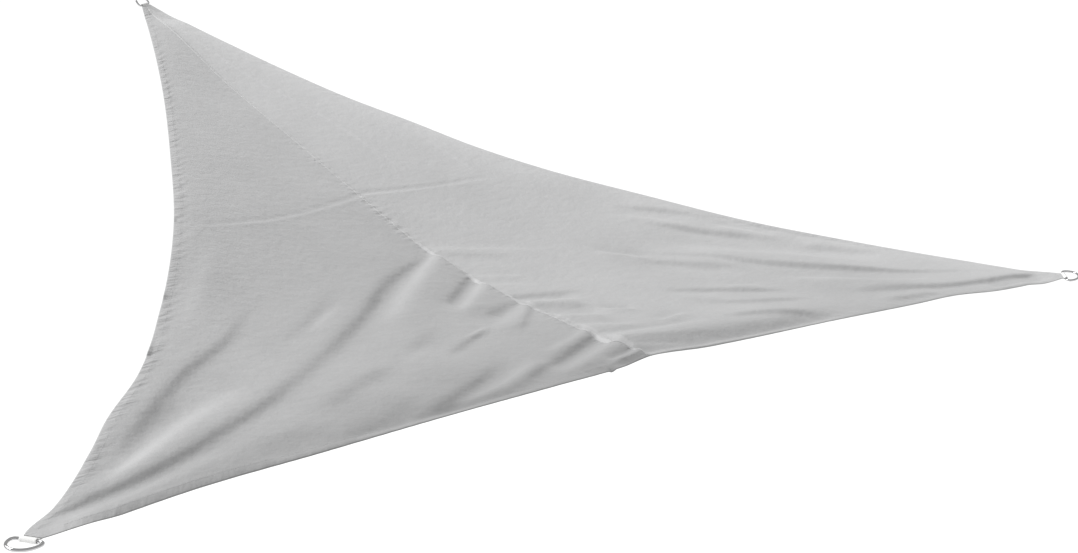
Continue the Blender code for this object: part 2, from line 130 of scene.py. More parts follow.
# Folds that the slack leaves: points along each, half its width at either end, and how steeply the
# cloth tips across it at either end (positive where it rises to the right of the line).
CREASES = {
    "left": (
        # the long fold out of the left corner, with its bright flank and the softer folds beside it
        (((-1.41, 0.06), (-1.25, 0.11), (-1.10, 0.18), (-0.90, 0.29), (-0.75, 0.40)),
         0.007, 0.016, -0.40, -0.26),
        (((-1.10, 0.19), (-0.80, 0.36), (-0.50, 0.58), (-0.25, 0.80), (0.00, 0.95)),
         0.018, 0.014, -0.26, -0.22),
        (((-1.35, 0.10), (-1.25, 0.16), (-1.10, 0.26), (-0.85, 0.40)), 0.008, 0.030, 0.65, 0.35),
        (((-1.42, 0.03), (-1.28, 0.07), (-1.14, 0.12), (-1.00, 0.17)), 0.010, 0.020, 0.26, 0.10),
        (((-0.70, 0.43), (-0.45, 0.63), (-0.20, 0.84)), 0.025, 0.020, -0.12, -0.10),
        # from the left corner up towards the middle of the side hem
        (((-1.32, 0.14), (-1.18, 0.28), (-1.00, 0.44), (-0.84, 0.56), (-0.67, 0.74)),
         0.013, 0.012, -0.20, -0.30),
        (((-1.28, 0.17), (-1.15, 0.29), (-1.02, 0.38)), 0.015, 0.025, -0.12, -0.10),
        (((-0.60, 1.05), (-0.78, 0.80), (-0.95, 0.55)), 0.018, 0.020, -0.13, -0.10),
        # the middle of the panel, up to the seam
        (((-0.75, 0.51), (-0.58, 0.64), (-0.40, 0.80)), 0.014, 0.014, -0.14, -0.12),
        (((-0.64, 0.56), (-0.47, 0.69)), 0.008, 0.008, 0.18, 0.18),
        (((-0.48, 0.52), (-0.25, 0.73), (0.00, 0.94)), 0.028, 0.018, 0.20, 0.58),
        (((-0.86, 0.20), (-0.70, 0.29), (-0.52, 0.38)), 0.018, 0.018, -0.20, -0.18),
        (((-0.70, 0.27), (-0.50, 0.39), (-0.30, 0.54)), 0.020, 0.018, -0.24, -0.22),
        (((-0.65, 0.30), (-0.40, 0.44)), 0.025, 0.020, 0.24, 0.24),
        (((-0.43, 0.35), (-0.32, 0.41), (-0.20, 0.47)), 0.009, 0.009, -0.26, -0.38),
        (((-0.31, 0.43), (-0.19, 0.49)), 0.004, 0.004, 0.50, 0.65),
        # along the lower hem
        (((-0.95, 0.15), (-0.60, 0.23), (-0.25, 0.31)), 0.055, 0.055, -0.13, -0.13),
        (((-0.93, 0.08), (-0.74, 0.14), (-0.54, 0.24)), 0.022, 0.024, -0.18, -0.18),
        (((-1.07, 0.12), (-0.85, 0.16)), 0.020, 0.020, -0.12, -0.14),
        (((-0.75, 0.10), (-0.55, 0.13), (-0.33, 0.15)), 0.024, 0.030, -0.28, -0.32),
        (((-0.68, 0.12), (-0.50, 0.19), (-0.30, 0.30)), 0.017, 0.015, -0.34, -0.30),
        (((-0.60, 0.13), (-0.40, 0.19), (-0.22, 0.27)), 0.014, 0.017, 0.40, 0.34),
    ),
    "right": (
        # the long folds out of the right corner
        (((0.40, 0.80), (0.65, 0.60), (0.80, 0.45), (1.10, 0.25), (1.38, 0.11)),
         0.011, 0.006, -0.26, -0.54),
        (((0.55, 0.75), (0.75, 0.61), (0.95, 0.46), (1.20, 0.24)), 0.040, 0.040, 0.30, 0.40),
        (((0.70, 0.41), (0.85, 0.32), (1.00, 0.23), (1.20, 0.15)), 0.018, 0.014, 0.46, 0.38),
        (((0.78, 0.25), (0.95, 0.18), (1.12, 0.12), (1.40, 0.06)), 0.015, 0.007, -0.36, -0.60),
        (((1.19, 0.05), (1.30, 0.03), (1.44, 0.01)), 0.011, 0.008, 0.65, 0.65),
        # the streaks of the upper half
        (((0.65, 0.96), (0.77, 0.87), (0.87, 0.77)), 0.010, 0.010, -0.34, -0.40),
        (((0.60, 0.94), (0.80, 0.77)), 0.015, 0.013, 0.15, 0.15),
        (((0.66, 0.85), (0.80, 0.72), (0.95, 0.58)), 0.009, 0.009, -0.53, -0.56),
        (((0.82, 0.77), (1.00, 0.58)), 0.016, 0.018, 0.30, 0.30),
        (((0.98, 0.55), (1.07, 0.46), (1.16, 0.36)), 0.014, 0.011, -0.45, -0.51),
        (((0.70, 0.55), (0.90, 0.37), (1.10, 0.25)), 0.011, 0.012, -0.16, -0.18),
        (((0.46, 0.68), (0.58, 0.58), (0.70, 0.47)), 0.010, 0.016, -0.30, -0.50),
        (((0.40, 0.78), (0.54, 0.65)), 0.010, 0.011, 0.40, 0.36),
        # the streaks of the lower half
        (((0.37, 0.50), (0.55, 0.39), (0.72, 0.29)), 0.008, 0.010, -0.45, -0.41),
        (((0.37, 0.46), (0.50, 0.37)), 0.015, 0.015, 0.24, 0.18),
        (((0.55, 0.43), (0.65, 0.37)), 0.008, 0.007, 0.33, 0.26),
        (((0.36, 0.41), (0.48, 0.32), (0.60, 0.27), (0.70, 0.24)), 0.012, 0.009, -0.30, -0.34),
        (((0.32, 0.26), (0.48, 0.21), (0.64, 0.13)), 0.010, 0.009, -0.39, -0.44),
        (((0.02, 0.21), (0.25, 0.18), (0.50, 0.16), (0.75, 0.14)), 0.036, 0.035, -0.36, -0.45),
        (((0.83, 0.14), (1.08, 0.09)), 0.012, 0.010, -0.34, -0.34),
        (((0.14, 0.46), (0.23, 0.41)), 0.007, 0.007, 0.65, 0.65),
        (((0.19, 0.32), (0.32, 0.33)), 0.007, 0.007, 0.52, 0.52),
    ),
}
# Pleats that run out from the seam and fall away from it: how high up the seam each one starts, how
# far it runs, how many degrees it falls, half its width, and how steeply the cloth tips across it.
PLEATS = {
    "left": (
        (0.79, 0.28, 38, 0.011, -0.26),
        (0.74, 0.28, 38, 0.015, 0.53),
        (0.60, 0.18, 22, 0.017, -0.29),
        (0.58, 0.26, 32, 0.020, 0.24),
        (0.55, 0.21, 41, 0.009, -0.37),
        (0.36, 0.22, 20, 0.010, 0.26),
        (0.33, 0.48, 24, 0.014, -0.42),
        (0.27, 0.28, 20, 0.020, 0.48),
        (0.21, 0.32, 14, 0.016, -0.14),
        (0.19, 0.13, 11, 0.009, 0.78),
    ),
    "right": (
        (0.97, 0.36, 23, 0.013, 0.10),
        (0.93, 0.24, 27, 0.014, -0.12),
        (0.78, 0.16, 20, 0.007, 0.13),
        (0.72, 0.15, 22, 0.009, 0.13),
        (0.63, 0.22, 16, 0.011, -0.24),
        (0.59, 0.17, 18, 0.012, 0.52),
        (0.55, 0.18, 24, 0.011, -0.18),
        (0.48, 0.15, 25, 0.014, 0.48),
        (0.39, 0.16, 24, 0.009, 0.30),
        (0.33, 0.34, 11, 0.015, -0.20),
        (0.29, 0.33, 6, 0.018, 0.32),
        (0.25, 0.29, 13, 0.008, -0.13),
        (0.22, 0.17, 17, 0.007, 0.22),
    ),
}
# Sharp lines from when the cloth lay folded in its bag, in the columns of the creases.
PRESSED = {
    "left": (
        (((-0.70, 1.07), (-0.35, 1.15), (0.00, 1.28)), 0.004, 0.004, 0.14, 0.20),
        (((-0.70, 1.09), (-0.35, 1.17), (0.00, 1.30)), 0.004, 0.004, -0.05, -0.05),
    ),
    "right": (
        (((0.00, 1.29), (0.25, 1.26), (0.50, 1.24)), 0.005, 0.004, 0.24, 0.14),
        (((0.00, 1.31), (0.25, 1.28), (0.50, 1.26)), 0.005, 0.004, -0.12, -0.08),
        (((0.02, 2.45), (0.08, 2.10), (0.16, 1.80), (0.20, 1.50), (0.21, 1.30)),
         0.006, 0.006, -0.16, -0.16),
        (((0.38, 1.60), (0.41, 1.25)), 0.005, 0.005, -0.14, -0.14),
    ),
}
CREASE_FADE = 0.009         # every crease dies out this near to the seam
CREASE_REACH = 4.0          # and eases back over this many of its half widths
CREASE_CUT = CREASE_REACH * 2.2
CREASE_LEGS = 40            # a crease's course is followed in this many legs
CREASE_END = 0.35           # this share of it fades in or out at a free end
BY_SEAM, BY_TIP = 0.035, 0.130  # an end this near to the seam or to a corner isn't free
TIP_CALM = 0.045            # the cloth stays smooth this close to a corner
# The right panel is painted lighter than the left one, as painted light for the sheen it shows at a
# grazing angle.
# Painted light lightens both panels along the side hems, and painted shade greys them along the
# lower one.
PANEL_PAINTED_LIGHT = {"left": 1.00, "right": 1.04}
PAINTED_HEM_LIGHT = {"left": (0.07, 0.07), "right": (0.18, 0.20)}   # (how much, how far in)
# painted shade along the lower hem: how much, how far up it reaches, and how far in from the side
# hem it eases in
PAINTED_FOOT_SHADE, PAINTED_FOOT_SHADE_REACH, PAINTED_FOOT_SHADE_EASE = 0.15, 0.30, 0.60
# Painted shade greys the left panel from halfway down, more towards the seam.
PAINTED_BELLY_SHADE = 0.10
BELLY_DOWN, BELLY_ACROSS = (0.50, 0.25), (0.15, 0.50)      # (where it starts, over how much)
# Painted shade darkens the left panel along its lower hem; both panels are also darker near the
# high corner.
DARKER_ENDS, DARKER_ENDS_REACH = 0.09, 0.16
# The cloth rolls down to each hem: how high it stands inside it, and how far in that is.
ROLL = {"left": (0.005, 0.050), "right": (0.004, 0.050), "lower": (0.005, 0.050)}
ROLL_BACK = 5               # it eases back over this many times as far
# Where the turned hem and the seam pucker: wave length and height.
PUCKERS = {
    "left": {"wave": 0.046, "height": 0.0006},
    "right": {"wave": 0.052, "height": 0.0004},
    "lower": {"wave": 0.048, "height": 0.0006},
    "seam": {"wave": 0.033, "height": 0.0012},
}
PUCKER_OUT, PUCKER_IN, PUCKER_LEAN = 0.018, 0.024, 0.55
SEAM_DRAWN, SEAM_LEAN = 0.020, 0.4
SEAM_SIDE = {"left": 1.0, "right": 0.4}
SEAM_PUCKERED = (0.34, 0.25)                # (share of the way down where it starts, over how much)
WAVE_DRIFT = ((0.55, 9.7), (0.35, 23.0))    # how far the waves stray, and how fast that changes
WAVE_SIZE, WAVE_BEATS = 0.65, (13.1, 5.3)   # their middle size, and how fast it changes
HIGH_CALM, FOOT_CALM, CORNER_CALM = 0.04, 0.02, 0.08
# The finest gathers, too small to model: how strong, how wide and how far in from each sewn line.
GATHERS = {
    "left": {"strength": 0.62, "wave": 0.012, "reach": 0.048},
    "right": {"strength": 0.28, "wave": 0.012, "reach": 0.034},
    "lower": {"strength": 0.36, "wave": 0.013, "reach": 0.034},
    "seam": {"strength": 1.00, "wave": 0.014, "reach": 0.044},
}
GATHER_LENGTH, GATHER_LEAN, GATHER_EDGE = 0.055, 0.1, 0.004
GATHER_PATCH, GATHER_EVEN = 0.17, 0.6       # they come in patches this long, and never quite stop
SEAM_GATHERED = (0.30, 0.20)
SEAM_GATHER_SIDE = {"left": 1.0, "right": 0.3}
# Where the edge of a hem has turned up or down: how far along, how long it takes to rise and to
# fall, and how high it stands.
TURNED_UP = {
    "left": (
        (0.538, 0.035, 0.015, 0.003), (0.678, 0.050, 0.018, 0.003), (0.768, 0.090, 0.016, 0.004),
    ),
    "right": (),
    "lower": ((0.4545, 0.016, 0.010, -0.005),),
}
# How far the lower hem's edge is rolled under, at shares of the way along it.
ROLLED_UNDER = (
    (0.00, 0.000), (0.10, 0.001), (0.40, 0.001), (0.49, 0.001), (0.52, 0.004),
    (0.60, 0.004), (0.68, 0.002), (0.90, 0.001), (1.00, 0.000),
)
TURNED_REACH, ROLLED_REACH = 0.006, 0.004
PANEL_ROWS, PANEL_COLUMNS = 440, 190
FIRST_ROW, LAST_PLAIN_ROW = 0.004, 0.028
# How far in from the edge the hem's own rows and columns lie, and those of the flap turned under it
# with how far below the face each of them lies.
FOOT_ROWS = (0.025, 0.022, 0.020, 0.014, 0.008, 0.003, 0.000)
HEM_COLUMNS = (0.000, 0.003, 0.008, 0.014, 0.019, 0.021, 0.023, 0.026)
HEM_SHARE = 0.25            # near a tip the hem takes at most this share of the panel
FLAP = ((0.021, 0.0019), (0.012, 0.0019), (0.004, 0.0018), (0.000, 0.0010))


def smooth(x):
    x = np.clip(x, 0.0, 1.0)
    return x * x * (3.0 - 2.0 * x)


def ramp(x, over):
    """Rises evenly from 0 to 1, given where it starts and over how much."""
    start, length = over
    return smooth((x - start) / length)


def through(rows, x):
    """A smooth curve through a table's rows, read at x."""
    at, value = np.array(rows).T
    slope = np.gradient(value, at)
    i = np.clip(np.searchsorted(at, x, side="right") - 1, 0, len(at) - 2)
    step = at[i + 1] - at[i]
    q = (x - at[i]) / step
    return (
        (2 * q**3 - 3 * q**2 + 1) * value[i]
        + (q**3 - 2 * q**2 + q) * step * slope[i]
        + (3 * q**2 - 2 * q**3) * value[i + 1]
        + (q**3 - q**2) * step * slope[i + 1]
    )


def heading(corner):
    angle = math.radians(CORNERS[corner]["heading"])
    return np.array([math.cos(angle), math.sin(angle)])


def corner_frame(corner):
    """The frame of the bar's middle: x along the pull, y along the bar, z up out of the cloth."""
    spec = CORNERS[corner]
    middle = np.array(spec["at"]) + spec["out"] * heading(corner)
    turn = Matrix.Rotation(math.radians(spec["heading"] + spec["turn"]), 4, "Z")
    rise = Matrix.Rotation(-math.radians(spec["rise"]), 4, "Y")
    roll = Matrix.Rotation(math.radians(spec["roll"]), 4, "X")
    return Matrix.Translation((*middle, 0)) @ turn @ rise @ roll


def ring_lift(corner):
    return Matrix.Rotation(-math.radians(CORNERS[corner]["lift"]), 4, "Y")


# The origin is the middle of the high ring's eye, 19 mm out from the middle of its bar.
EYE_MIDDLE = Matrix.Translation((0.019, 0, 0))
slope = Matrix.Rotation(math.radians(SLOPE), 4, "X")
hung_from = (slope @ corner_frame("high") @ ring_lift("high") @ EYE_MIDDLE).translation
sail_plane = Matrix.Translation(-hung_from) @ slope


def hung(points):
    """Points (u, v, w) in the sail's plane, as world points."""
    frame_of = np.array(sail_plane)
    return points @ frame_of[:3, :3].T + frame_of[:3, 3]


def cloth_point(corner):
    return np.array(CORNERS[corner]["at"]) + TIP_REACH * heading(corner)


def side_curve(name, share):
    """Points (u, v, w) on a hemmed side, at shares of the way along it."""
    side = SIDES[name]
    start, end = (cloth_point(corner) for corner in side["ends"])
    along = (end - start) / np.linalg.norm(end - start)
    inward = cloth_point(side["facing"]) - start
    inward = inward - inward.dot(along) * along
    inward = inward / np.linalg.norm(inward)
    share = np.asarray(share, float)[..., None]
    plan = start + share * (end - start) + through(side["drawn_in"], share) * inward
    return np.concatenate([plan, -4 * side["hang"] * share * (1 - share)], axis=-1)


def seam_curve(share):
    share = np.asarray(share, float)
    top = cloth_point("high")[1]
    foot = side_curve("lower", 0.5)[1]
    return np.stack([0 * share, top + share * (foot - top), -through(SEAM_HANG, share)], axis=-1)


def crease_lift(plan, crease):
    """How far one crease lifts or lowers the cloth at each (u, v)."""
    line, from_width, to_width, from_tilt, to_tilt = crease
    knots = list(range(len(line)))
    q = np.linspace(0.0, knots[-1], CREASE_LEGS + 1)
    course = np.stack([through(list(zip(knots, values)), q) for values in zip(*line)], axis=-1)
    reach = CREASE_CUT * max(from_width, to_width)
    lift = np.zeros(plan.shape[:-1])
    near = ((plan > course.min(0) - reach) & (plan < course.max(0) + reach)).all(-1)
    if not near.any():
        return lift
    points = plan[near]
    distance = np.full(len(points), np.inf)
    side, share_at = np.zeros(len(points)), np.zeros(len(points))
    for k in range(CREASE_LEGS):
        leg = course[k + 1] - course[k]
        offset = points - course[k]
        share = np.clip(offset @ leg / leg.dot(leg), 0, 1)
        away = np.linalg.norm(offset - share[:, None] * leg, axis=-1)
        closer = away < distance
        distance = np.where(closer, away, distance)
        beside = (offset[:, 0] * leg[1] - offset[:, 1] * leg[0]) / np.linalg.norm(leg)
        side = np.where(closer, beside, side)
        share_at = np.where(closer, (k + share) / CREASE_LEGS, share_at)
    width = from_width + (to_width - from_width) * share_at
    tilt = from_tilt + (to_tilt - from_tilt) * share_at
    profile = np.tanh(side / width) * np.exp(-((distance / width / CREASE_REACH) ** 2))
    for end, share in ((line[0], share_at), (line[-1], 1 - share_at)):
        tip = min(math.dist(end, CORNERS[corner]["at"]) for corner in CORNERS)
        if abs(end[0]) > BY_SEAM and tip > BY_TIP:
            profile = profile * smooth(share / CREASE_END)
    lift[near] = tilt * width * profile
    return lift


def pleats(panel):
    """The pleats beside the seam, as rows like those of the creases."""
    side = -1 if panel == "left" else 1
    rows = []
    for place, run, fall, half_width, tilt in PLEATS[panel]:
        angle = math.radians(fall)
        far_end = (side * run * math.cos(angle), place - run * math.sin(angle))
        line = sorted(((0.0, place), far_end))
        rows.append((line, half_width, half_width, tilt, tilt))
    return tuple(rows)


def tip_shape(points):
    """Lays the cloth flat round each ring, on the plane of its webbing."""
    for corner in CORNERS:
        seat_frame = np.array(corner_frame(corner))
        normal = seat_frame[:3, 2]
        seat = seat_frame[:3, 3] + CLOTH_ABOVE_BAR * normal
        offset = points[..., :2] - seat[:2]
        flat = seat[2] - offset @ normal[:2] / normal[2]
        reach = np.linalg.norm(offset, axis=-1)
        keep = smooth((reach - TIP_FLAT) / (TIP_BLEND - TIP_FLAT))
        points[..., 2] = keep * points[..., 2] + (1 - keep) * flat
    return points


def waves(along, wave):
    """An uneven row of small waves, between -1 and 1."""
    phase = along / wave
    for far, fast in WAVE_DRIFT:
        phase = phase + far * np.sin(along * fast)
    first, second = WAVE_BEATS
    size = WAVE_SIZE + (1 - WAVE_SIZE) * np.sin(along * first + 1.0) * np.sin(along * second)
    return np.sin(2 * math.pi * phase) * size


def hem_relief(inset, along, hem):
    """A turned hem: a raised band with a rounded edge, drawn down and puckered by its stitching."""
    inward = inset - HEM_STITCH
    band = 1 - smooth(inward / HEM_EASE)
    stitched = np.exp(-((inward / STITCH_GROOVE) ** 2))
    spread = np.exp(-((inward / np.where(inward < 0, PUCKER_OUT, PUCKER_IN)) ** 2))
    ripple = waves(along + PUCKER_LEAN * inset, PUCKERS[hem]["wave"]) * PUCKERS[hem]["height"]
    return HEM_RISE * band - STITCH_SUNK * stitched + ripple * spread


def turned_up(inset, share, hem):
    """How far the very edge of a hem stands up, or is rolled under."""
    lift = np.zeros(share.shape)
    for place, before, after, height in TURNED_UP[hem]:
        beyond = (share - place) * SIDE
        lift = lift + height * smooth(1 + beyond / before) * smooth(1 - beyond / after)
    lift = lift * np.exp(-((inset / TURNED_REACH) ** 2))
    if hem == "lower":
        lift = lift - through(ROLLED_UNDER, share) * np.exp(-((inset / ROLLED_REACH) ** 2))
    return lift


def roll(inset, hem):
    """How far the cloth stands up inside a hem: it rises quickly and eases back slowly."""
    height, reach = ROLL[hem]
    x = inset / reach
    return height * (1 - np.exp(-x)) * np.exp(-((x / ROLL_BACK) ** 2))


def panel_across(panel, s):
    return np.linalg.norm(side_curve(panel, s) - seam_curve(s), axis=-1)


SEAM_LENGTH = cloth_point("high")[1] - side_curve("lower", 0.5)[1]


def cloth_at(panel, s, t):
    """The upper face of a panel: s down from the high corner, t across from the hem to the seam."""
    outer = 0.0 if panel == "left" else 1.0
    tt, ss = t[..., None], s[..., None]
    edge, seam = side_curve(panel, s), seam_curve(s)
    foot = side_curve("lower", outer + (0.5 - outer) * t)
    corner, middle = side_curve(panel, 1.0), seam_curve(1.0)
    points = (1 - tt) * edge + tt * seam + ss * (foot - (1 - tt) * corner - tt * middle)

    across = panel_across(panel, s)
    from_hem, from_seam, from_foot = t * across, (1 - t) * across, (1 - s) * SEAM_LENGTH
    plan = points[..., :2].copy()
    points = tip_shape(points)

    rolled = np.ones(plan.shape[:-1])
    creased = smooth(from_hem / HEM_WIDTH) * smooth(from_foot / HEM_WIDTH)
    creased = creased * smooth(from_seam / CREASE_FADE)
    for corner in CORNERS:
        away = np.linalg.norm(plan - np.array(CORNERS[corner]["at"]), axis=-1)
        rolled = rolled * smooth((away - TIP_CALM) / (3 * TIP_CALM))
        creased = creased * smooth((away - TIP_CALM) / TIP_CALM)
    for inside, hem in ((from_hem, panel), (from_foot, "lower")):
        points[..., 2] += rolled * roll(inside, hem)
    for crease in CREASES[panel] + pleats(panel) + PRESSED[panel]:
        points[..., 2] += creased * crease_lift(plan, crease)

    calm = smooth(s / HIGH_CALM) * smooth((1 - s) / FOOT_CALM)
    points[..., 2] += calm * hem_relief(from_hem, s * HEM_LENGTH, panel)
    points[..., 2] += turned_up(from_hem, s, panel)
    calm_foot = smooth(from_hem / CORNER_CALM)
    lower_share = outer + (0.5 - outer) * t
    points[..., 2] += calm_foot * hem_relief(from_foot, lower_share * HEM_LENGTH, "lower")
    points[..., 2] += calm_foot * turned_up(from_foot, lower_share, "lower")
    drawn = np.exp(-((from_seam / SEAM_DRAWN) ** 2))
    ripple = waves(s * SEAM_LENGTH + SEAM_LEAN * from_seam, PUCKERS["seam"]["wave"])
    size = PUCKERS["seam"]["height"] * SEAM_SIDE[panel] * ramp(s, SEAM_PUCKERED)
    points[..., 2] += drawn * ripple * size * calm
    points[..., 2] += CLOTH_LIFT
    return points


def panel_grid(panel):
    """Rows and columns of a panel, from the turned-under hems to the seam, with their drop."""
    flap, flap_drop = np.array(FLAP).T
    shares = np.concatenate([
        np.linspace(FIRST_ROW, 1 - LAST_PLAIN_ROW / SEAM_LENGTH, PANEL_ROWS),
        1 - np.array(FOOT_ROWS) / SEAM_LENGTH,
    ])
    s = np.concatenate([shares, 1 - flap[::-1] / SEAM_LENGTH])
    insets = np.array(HEM_COLUMNS)
    across = panel_across(panel, s)[:, None]
    under = np.minimum(flap / across, flap / insets[-1] * HEM_SHARE)
    hem = np.minimum(insets / across, insets / insets[-1] * HEM_SHARE)
    plain = np.linspace(0.0, 1.0, PANEL_COLUMNS)[1:]
    t = np.concatenate([under, hem, hem[:, -1:] + plain * (1 - hem[:, -1:])], axis=1)
    s = np.broadcast_to(s[:, None], t.shape)
    drop = np.zeros(t.shape)
    drop[:, : len(flap)] = flap_drop
    drop[len(shares):] = np.maximum(drop[len(shares):], flap_drop[::-1, None])
    return s, t, drop


def lap_columns(s_column):
    """The right panel's turned lap, which lies over the left panel beside the seam."""
    offsets, rise = np.array(LAP_COLUMNS).T
    across = panel_across("left", s_column)
    share = np.minimum(offsets[None, :] / across[:, None], LAP_SHARE)
    s = np.broadcast_to(s_column[:, None], share.shape)
    points = cloth_at("left", s, 1 - share)
    points[..., 2] += rise * LAP_RISE
    return points


def paint_light_and_shade(panel, s, t, columns):
    """Painted light and shade at each point: lighter by the side hems, greyer below."""
    across = panel_across(panel, s[:, 0])[:, None]
    amount, reach = PAINTED_HEM_LIGHT[panel]
    near_hem = np.exp(-t * across / reach)
    near_foot = np.exp(-(1 - s) * SEAM_LENGTH / PAINTED_FOOT_SHADE_REACH) * smooth(t * across / PAINTED_FOOT_SHADE_EASE)
    tone = PANEL_PAINTED_LIGHT[panel] + amount * near_hem - PAINTED_FOOT_SHADE * near_foot
    if panel == "left":
        tone = tone - PAINTED_BELLY_SHADE * ramp(s, BELLY_DOWN) * ramp(t, BELLY_ACROSS)
        tone = tone - DARKER_ENDS * np.exp(-(((1 - s) * SIDE / DARKER_ENDS_REACH) ** 2))
    tone = tone - DARKER_ENDS * np.exp(-((s * SIDE / DARKER_ENDS_REACH) ** 2))
    return np.pad(tone, ((0, 0), (0, columns - tone.shape[1])), mode="edge")


def gathers(panel, s, t, columns):
    """For each sewn line: the place along it, the place in from it, and how strongly it gathers."""
    across = panel_across(panel, s[:, 0])[:, None]
    along_foot = (t if panel == "left" else 2 - t) * SIDE / 2
    by_seam = ramp(s, SEAM_GATHERED) * SEAM_GATHER_SIDE[panel]
    lines = {
        panel: (s * HEM_LENGTH, t * across, 1.0),
        "lower": (along_foot, (1 - s) * SEAM_LENGTH, 1.0),
        "seam": (s * SEAM_LENGTH, (1 - t) * across, by_seam),
    }
    found = {}
    for line, (along, inset, share) in lines.items():
        spec = GATHERS[line]
        uneven = GATHER_EVEN + (1 - GATHER_EVEN) * waves(along, GATHER_PATCH)
        inner = 1 - smooth((inset - GATHER_EDGE) / spec["reach"])
        strength = spec["strength"] * share * uneven * inner
        leant = (along + GATHER_LEAN * inset) / spec["wave"]
        row = np.stack([leant, inset / GATHER_LENGTH, strength], -1)
        row = np.pad(row, ((0, 0), (0, columns - row.shape[1]), (0, 0)), mode="edge")
        found["side" if line == panel else line] = row
    return found


def cloth_mesh(panel):
    s, t, drop = panel_grid(panel)
    points = cloth_at(panel, s, t)
    points[..., 2] -= drop
    if panel == "right":
        lap = lap_columns(s[:, 0])
        lap[..., 2] -= drop[:, -1:]
        points = np.concatenate([points, lap], axis=1)
    rows, columns = points.shape[:2]
    flat = points.reshape(-1, 3)
    index = np.arange(rows * columns).reshape(rows, columns)
    faces = np.stack([index[:-1, :-1], index[1:, :-1], index[1:, 1:], index[:-1, 1:]], -1)
    faces = faces.reshape(-1, 4)
    if panel == "right":
        faces = faces[:, ::-1]
    mesh = bpy.data.meshes.new("sail_" + panel)
    mesh.from_pydata(hung(flat).tolist(), [], faces.tolist())
    cut = mesh.uv_layers.new(name="cut")
    loops = np.empty(len(mesh.loops), np.int32)
    mesh.loops.foreach_get("vertex_index", loops)
    cut.data.foreach_set("uv", flat[loops][:, :2].astype(np.float32).ravel())
    painted_light_and_shade = mesh.attributes.new("painted_light_and_shade", "FLOAT", "POINT")
    painted_light_and_shade.data.foreach_set("value", paint_light_and_shade(panel, s, t, columns).astype(np.float32).ravel())
    for line, row in gathers(panel, s, t, columns).items():
        gathered = mesh.attributes.new("gathers_" + line, "FLOAT_VECTOR", "POINT")
        gathered.data.foreach_set("vector", row.astype(np.float32).ravel())
    mesh.shade_smooth()
    return mesh


def trim_tips(mesh, corners):
    """Cuts the cloth off square to the pull, just short of each ring's bar."""
    bm = bmesh.new()
    bm.from_mesh(mesh)
    for corner in corners:
        seat = sail_plane @ corner_frame(corner)
        bmesh.ops.bisect_plane(
            bm, geom=bm.verts[:] + bm.edges[:] + bm.faces[:], dist=1e-7,
            plane_co=seat @ Vector((-TIP_CUT, 0, 0)), plane_no=seat.to_3x3() @ Vector((1, 0, 0)),
            clear_outer=True,
        )
    bm.to_mesh(mesh)
    bm.free()


def node(tree, kind, **settings):
    made = tree.nodes.new(kind)
    for name, value in settings.items():
        if name in made.inputs:
            made.inputs[name].default_value = value
        else:
            setattr(made, name, value)
    return made


def new_material(name):
    made = bpy.data.materials.new(name)
    made.use_nodes = True
    return made, made.node_tree, made.node_tree.nodes["Principled BSDF"]


